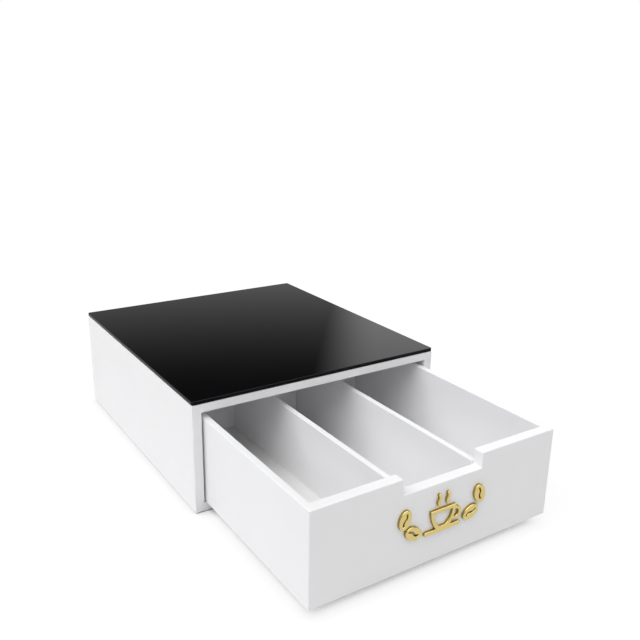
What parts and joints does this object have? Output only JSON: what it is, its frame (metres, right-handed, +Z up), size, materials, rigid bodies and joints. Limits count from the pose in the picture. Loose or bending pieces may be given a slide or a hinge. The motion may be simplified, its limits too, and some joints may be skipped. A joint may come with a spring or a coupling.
{
  "type": "coffee pod drawer",
  "caption": "Low white lacquered case with a black glass top to stand a machine on, and a sliding drawer whose dividers keep pods in rows, pulled by a notch in its front.",
  "frame": {"origin": "on the surface that the pads stand on, under the middle of the whole length, with the drawer 192 mm out", "axes": "+X to the right as seen from the front, +Y to the back, +Z up; the drawer opens towards -Y"},
  "size_m": [0.3, 0.525, 0.1223],
  "materials": {
    "white_lacquer": "fine-textured satin white lacquer on board",
    "white_panel": "thin hardboard with a smooth white coat",
    "nail_steel": "bright zinc-plated steel",
    "beech": "bare turned beech",
    "black_glass": "polished glass, black all through",
    "white_tape": "double-sided tape",
    "dark_rubber": "matte dark rubber",
    "glide_film": "slippery white film",
    "gold_acrylic": "gold metallic gloss"
  },
  "bodies": {
    "case": {"left_side_panel": "white_lacquer", "right_side_panel": "white_lacquer", "top_panel": "white_lacquer", "bottom_panel": "white_lacquer", "back_panel": "white_panel", "back_panel_nails": "nail_steel", "case_dowels": "beech", "glass_top": "black_glass", "glass_tape": "white_tape", "foot_pads": "dark_rubber", "glide_strips": "glide_film", "drawer_bumpers": "dark_rubber"},
    "drawer": {"drawer_front": "white_lacquer", "drawer_left_side": "white_lacquer", "drawer_right_side": "white_lacquer", "drawer_back": "white_lacquer", "drawer_bottom": "white_panel", "divider_left": "white_lacquer", "divider_right": "white_lacquer", "front_corner_dowels": "beech", "back_corner_dowels": "beech", "ornament_cup": "gold_acrylic", "ornament_steam": "gold_acrylic", "ornament_beans": "gold_acrylic"}
  },
  "joints": [
    {"name": "drawer_slide", "type": "slide", "parent": "case", "child": "drawer", "axis": [0, -1, 0], "range_m": [-0.192, 0.068]}
  ]
}
